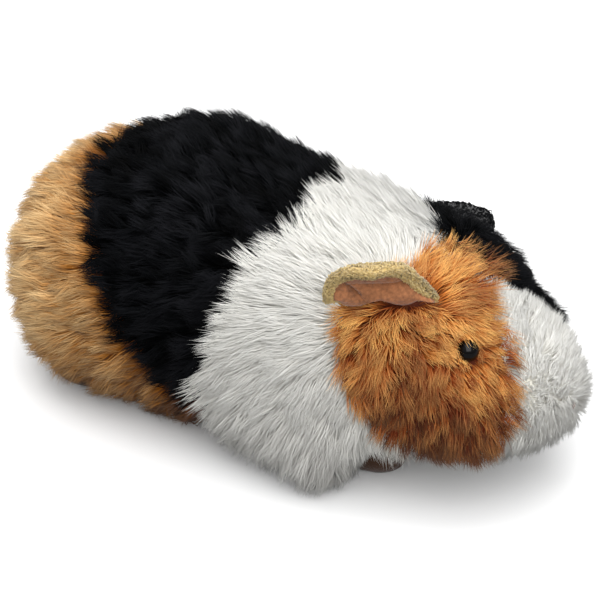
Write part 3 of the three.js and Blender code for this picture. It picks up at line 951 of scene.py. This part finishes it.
def foot_shape(ring):
    """Flat below and a little broader in front, with two grooves between the toes."""
    ring = ring.copy()
    ring[:, 1] *= 1 + 0.12 * ring[:, 0]
    ring[:, 2] = np.where(ring[:, 2] < 0, np.maximum(ring[:, 2] * 1.1, -0.72), ring[:, 2])
    groove = 0.1 * sum(np.exp(-(((ring[:, 1] - g) / 0.07) ** 2)) for g in (-0.33, 0.33))
    ring *= (1 - groove * np.clip((ring[:, 0] - 0.35) / 0.3, 0, 1) * (ring[:, 2] > -0.4))[:, None]
    return ring


def add_feet(material):
    for name, foot in FEET.items():
        for label, side in (("right", -1), ("left", 1)):
            x, y, z = foot["centre"]
            rings = round_form((x, side * y, z), foot["radii"], side * foot["turn"], shape=foot_shape)
            rings[..., 2] = np.maximum(rings[..., 2], 0.3)
            add_closed(f"{name}_{label}_cover", rings, material, f"{name}_{label}")


def add_nose(material):
    """A small stitched pad."""
    rings = round_form(NOSE_CENTRE, NOSE_RADII, rows=28, columns=48)
    add_closed("nose_pad", rings, material, "nose")


# ---- the setting ----
FLOOR_SEEN = (0.93, 0.93, 0.93)
FLOOR_BOUNCE = (0.3, 0.3, 0.3)  # a darker floor for the light that it throws back up
STUDIO_LOW = 0.28  # the room's light from the side and from overhead
STUDIO_HIGH = 0.92
FLOOR_REACH = 3.0
LIGHTS = (("overhead", (-0.1, 0.05, 1.2), 1.2), ("front", (0.5, -0.7, 0.95), 1.0))  # name, place, size
LIGHT_POWER = 11
LIGHTS_AIM = (0, 0, 0.05)


def add_stage():
    floor = bpy.data.meshes.new("floor")
    corners = ((-1, -1), (1, -1), (1, 1), (-1, 1))
    floor.from_pydata([(x * FLOOR_REACH, y * FLOOR_REACH, 0) for x, y in corners], [], [(0, 1, 2, 3)])
    material, nodes, links, shader = new_material("pale_floor")
    seen = nodes.new("ShaderNodeLightPath").outputs["Is Camera Ray"]
    links.new(mixed(nodes, links, seen, (*FLOOR_BOUNCE, 1), (*FLOOR_SEEN, 1)), shader.inputs["Base Color"])
    shader.inputs["Roughness"].default_value = 0.9
    floor.materials.append(material)
    new_object("floor", floor)


def add_studio():
    """Soft light that is strongest overhead."""
    world = bpy.data.worlds.new("studio")
    world.use_nodes = True
    nodes, links = world.node_tree.nodes, world.node_tree.links
    direction = nodes.new("ShaderNodeTexCoord")
    split = nodes.new("ShaderNodeSeparateXYZ")
    rise = nodes.new("ShaderNodeMapRange")
    set_inputs(rise, {"From Min": -0.1, "To Min": STUDIO_LOW, "To Max": STUDIO_HIGH})
    links.new(direction.outputs["Generated"], split.inputs["Vector"])
    links.new(split.outputs["Z"], rise.inputs["Value"])
    links.new(rise.outputs["Result"], nodes["Background"].inputs["Strength"])
    nodes["Background"].inputs["Color"].default_value = (1, 1, 1, 1)
    bpy.context.scene.world = world
    bpy.context.scene.view_settings.view_transform = "Standard"
    for name, place, size in LIGHTS:
        data = bpy.data.lights.new(name, "AREA")
        data.size = size
        data.energy = LIGHT_POWER
        lamp = new_object(name, data)
        lamp.location = place
        lamp.rotation_euler = (Vector(place) - Vector(LIGHTS_AIM)).to_track_quat("Z", "Y").to_euler()


# ---- the toy ----
def ear_gaps(point):
    """For each ear, how far points are along its seam, and out from it."""
    gaps = []
    for ear in (RIGHT_EAR, LEFT_EAR):
        turn = math.radians(ear["turn"])
        side = math.copysign(1, ear["seam"][1])
        gap = point - np.array(ear["seam"])
        forward = gap[..., 0] * math.cos(turn) - side * gap[..., 1] * math.sin(turn)
        outward = gap[..., 0] * math.sin(turn) + side * gap[..., 1] * math.cos(turn)
        gaps.append((forward, outward, gap[..., 2]))
    return gaps


def near_ear(along, around):
    """Whether places lie where an ear is sewn in."""
    hit = False
    for forward, outward, up in ear_gaps(body_point(along, around)):
        hit |= (np.abs(forward) < 19) & (outward > -2.8) & (outward < 0.0) & (up > -8)
    return hit


def upright_by_ear(root):
    """Pile beside an ear is held up by it, in degrees."""
    total = np.zeros(len(root))
    for forward, outward, up in ear_gaps(root):
        total += 24 * np.exp(-((outward - 0.5) / 4) ** 2) * (np.abs(forward) < 21) * (up > -20)
    return total


def eye_gap(point):
    """How far points lie from the eye on their own side."""
    folded = point.copy()
    folded[..., 1] = -np.abs(folded[..., 1])
    return folded - eye_centre(EYE_AROUND)


def in_eye_opening(point):
    """The pile leaves an oval open over each eye, longest forwards and down."""
    normal = body_normal(EYE_ALONG, EYE_AROUND)
    longest = flatten(np.array([0.8, -0.4, -0.45]), normal)
    gap = eye_gap(point) + longest
    return np.hypot(gap @ longest / 6.1, gap @ np.cross(normal, longest) / 2.8) < 1


def clear_of_face(along, around):
    return ~near_ear(along, around) & ~in_eye_opening(body_point(along, around))


def in_panel(panel):
    start, end = PANELS[panel]
    return lambda along, around: (along > start(around)) & (along < end(around)) & ~near_ear(along, around)


def on_cheek(side):
    def inside(along, around):
        right = (around > -90) & (around < PARTING)
        return in_cheek(along, around) & (right == (side < 0)) & clear_of_face(along, around)
    return inside


def clear_of_nose(along, around):
    root = skin_point(along, around, DEPTH["muzzle"])
    return np.linalg.norm(root - np.array(NOSE_CENTRE), axis=-1) > NOSE_ROOM


def on_muzzle(along, around):
    ahead = along > neck_seam(around)
    return clear_of_nose(along, around) & ahead & ~in_cheek(along, around) & clear_of_face(along, around)


def face_length(root, along, around):
    """Short beside the eyes, long on the forehead."""
    eye_distance = np.linalg.norm(eye_gap(root), axis=-1)
    return np.interp(eye_distance, [4, 8, 14], [0.45, 0.7, 1.0]) * (1 + 0.3 * on_forehead(root))


def cheek_tone_and_shade(root, along, around):
    """Darker at the whorl and on the forehead, and where the cheek turns under, there partly its own darker
    locks and partly painted shade.
    """
    whorl = np.exp(-(np.linalg.norm(root - np.array([66, -44, 74]), axis=1) / 12) ** 2)
    # The ramp on height darkens where the cheek turns under: darker locks and painted shade.
    return 0.16 - 0.75 * whorl - 1.5 * ramp(76 - root[:, 2], 38) - 0.45 * on_forehead(root)


def muzzle_length(root, along, around):
    """Shorter where it meets the cheeks."""
    ahead = (along - cheek_front(around)) * LENGTH
    return face_length(root, along, around) * np.interp(ahead, [0, 9], [0.55, 1.0])


def chest_length(root, along, around):
    """Longer where it hangs in front of the chest, and short beside the front feet."""
    beside_foot = ramp(root[:, 0] - 42, 8) * ramp(36 - root[:, 2], 8)
    return np.interp(root[:, 2], [14, 50], [1.15, 1.0]) * (1 - 0.6 * beside_foot)


def forehead_locks(root):
    """Long pile gathers more."""
    return 1 + 0.6 * on_forehead(root)


def on_forehead(root):
    """How far places lie within the longer pile between the ears, 0 to 1."""
    return ramp(root[:, 2] - 82, 8) * ramp(96 - root[:, 0], 10)


def rump_tone_and_shade(root, along, around):
    """Darker near the floor, above all in front of the haunch, partly the pile's own browner colour and
    partly painted shade; deeper along the seam and paler behind.
    """
    # below: the darkening near the floor, the pile's browner colour and painted shade together
    below = ramp(54 - root[:, 2], 44) * np.clip((root[:, 0] + 110) / 50, 0.3, 1)
    to_seam = (rump_seam(around) - along) * LENGTH
    return 0.3 - 0.7 * np.exp(-np.maximum(to_seam, 0) / 13) - 1.7 * below


def white_painted_shade(root, along, around):
    """Painted shade: greyer where the white pile turns under."""
    return -0.85 * ramp(40 - root[:, 2], 28)


def gathered_below(root):
    """Hardly any locks on the back and the neck, clear ones where the pile hangs."""
    return np.interp(root[:, 2], [16, 34, 60], [1.5, 0.9, 0.4])


def longer_below(root, along, around):
    """Pile that hangs in front of the haunch is longer."""
    return 1 + 0.45 * ramp(30 - root[:, 2], 20) * ramp(root[:, 0] + 80, 40)


# Each style: how far the roots lie below the tips; millimetres between strands, between locks and between
# groups of locks; how strongly they gather; degrees that locks stray, curl and lie at from root to tip;
# degrees that single strands stray; length and width.
LONG_PILE = {"depth": DEPTH["saddle"], "spacing": 0.82, "lock": 4.4, "herd": 12, "clump": 0.55,
             "herd_clump": 0.2, "stray": 9, "curl": 14, "lift": (62, 9), "lift_spread": 5, "fluff": 6,
             "length": 14.5, "width": 0.42}
FACE_PILE = {"depth": DEPTH["cheek"], "spacing": 0.62, "lock": 3.4, "herd": 9, "clump": 0.44,
             "herd_clump": 0.25, "stray": 10, "curl": 20, "lift": (60, 16), "lift_spread": 6, "fluff": 9,
             "length": 12, "width": 0.34, "along": (0.64, 0.95), "length_at": face_length,
             "upright_at": upright_by_ear}
# Colours of the root, the middle and the tip of a strand.
TAN = ((136, 68, 24), (196, 138, 74), (220, 184, 131))
# Black's lighter bluish tips are partly painted highlight and partly the fibres' own grey tint.
BLACK = ((1, 1, 1), (2, 3, 4), (24, 25, 28))
WHITE = ((240, 237, 226), (239, 237, 229), (237, 236, 230))
ORANGE = ((86, 34, 11), (178, 95, 36), (237, 184, 110))
YELLOW = ((190, 152, 83), (218, 182, 111), (228, 196, 131))

aim_camera()
add_stage()
add_studio()

tan_pile = pile_material("tan_pile", *TAN, variation=0.6, paling=0.35)
black_pile = pile_material("black_pile", *BLACK, variation=1.6, roughness=0.5, sheen=0.0, specular=0.04)
white_pile = pile_material("white_pile", *WHITE, variation=0.35, paling=-0.2, soft=0.3)
orange_pile = pile_material("orange_pile", *ORANGE, variation=0.7, paling=0.05)
yellow_terry = pile_material("yellow_terry", *YELLOW, variation=0.2, soft=0.5)
black_terry = pile_material("black_terry", *BLACK, variation=0.5, sheen=0.0, specular=0.08)
backings = {dye: cropped_material(f"{dye}_backing", colours[0], 0.9, 900, 200, 0.5)
            for dye, colours in (("tan", TAN), ("black", BLACK), ("white", WHITE), ("orange", ORANGE))}
belly_pile = cropped_material("belly_pile", (120, 78, 42), 0.9, 900, 220, 0.7)
pink_velour = cropped_material("pink_velour", (151, 99, 65), 0.85, 700, 140, 1.0, mottle=1.6)
yellow_cloth = cropped_material("yellow_terry_cloth", (206, 178, 116), 0.9, 1200, 300, 0.8)
black_cloth = cropped_material("black_terry_cloth", (12, 12, 14), 0.9, 1200, 300, 0.8)
# The feet's brown velour is darkened as painted shade, for feet that sit in the shade under the body.
foot_velour = cropped_material("foot_velour", (74, 50, 36), 0.9, 1400, 260, 0.8)
nose_thread = cropped_material("nose_thread", (168, 120, 104), 0.6, 1600, 300, 0.6)
eye_plastic = plastic_material("eye_plastic", (4, 3, 3))

for panel, dye, rows in (("rump", "tan", 30), ("saddle", "black", 26), ("shoulders", "white", 26),
                         ("muzzle", "white", 30)):
    panel_skin(panel, backings[dye], rows)
for side, dye in (("right", "orange"), ("left", "black")):
    cheek_skin(side, backings[dye])
belly_skin(belly_pile)

lay_pile("rump_pile", tan_pile,
         {**LONG_PILE, "depth": DEPTH["rump"], "along": (REAR_END, 0.45), "length": 16, "spacing": 0.9,
          "lock": 4.8, "clump": 0.6, "fluff": 5, "softness": 0.88, "tone_at": rump_tone_and_shade,
          "length_at": longer_below},
         back_flow, in_panel("rump"))
lay_pile("saddle_pile", black_pile,
         {**LONG_PILE, "along": (0.18, 0.6), "lock": 4.6, "clump": 0.8, "curl": 24, "stray": 13,
          "softness": 0.5, "ruffle": 0.25, "tone_spread": 1.4},
         back_flow, in_panel("saddle"))
lay_pile("shoulders_pile", white_pile,
         {**LONG_PILE, "depth": DEPTH["shoulders"], "along": (0.46, 0.83), "spacing": 0.76, "width": 0.4,
          "fluff": 5, "curl": 12, "stray": 6, "lift_spread": 2.5, "herd_clump": 0.1, "softness": 0.97,
          "rounded": 0.4, "ruffle": 0.03, "tone_spread": 0.15, "tone_at": white_painted_shade,
          "clump_at": gathered_below, "length_at": chest_length},
         shoulder_flow, in_panel("shoulders"))
lay_pile("cheek_right_pile", orange_pile,
         {**FACE_PILE, "around": (-54, PARTING), "clump": 0.5, "curl": 24, "tone_spread": 1.5,
          "tone_at": cheek_tone_and_shade, "clump_at": forehead_locks},
         cheek_flow, on_cheek(-1))
lay_pile("cheek_left_pile", black_pile, {**FACE_PILE, "around": (PARTING, 234), "length": 11.5},
         cheek_flow, on_cheek(1))
lay_pile("muzzle_pile", white_pile,
         {**FACE_PILE, "depth": DEPTH["muzzle"], "along": (0.64, FRONT_END), "length": 7.6, "lift": (74, 38),
          "length_at": muzzle_length, "clump": 0.25, "lock": 2.6, "curl": 14, "width": 0.38, "softness": 0.95,
          "rounded": 0.4, "ruffle": 0.04, "tone_spread": 0.2, "tone_at": white_painted_shade},
         muzzle_flow, on_muzzle)

for side, ear, cloth, terry, slot, loops in (
        ("right", RIGHT_EAR, yellow_cloth, yellow_terry, "yellow_terry", 5200),
        ("left", LEFT_EAR, black_cloth, black_terry, "black_terry", 2400)):
    ear_layer(f"ear_{side}_terry", ear, TERRY_SECTION, cloth, f"ear_{side}_back", 0.0)
    ear_layer(f"ear_{side}_velour", ear, LINING_SECTION, pink_velour, f"ear_{side}_lining",
              1.0)
    terry_loops(f"ear_{side}_loops", ear, loops, terry)
for side, around in (("right", EYE_AROUND), ("left", 180 - EYE_AROUND)):
    add_eye(f"eye_{side}_ball", around, f"eye_{side}", eye_plastic)
add_nose(nose_thread)
add_feet(foot_velour)
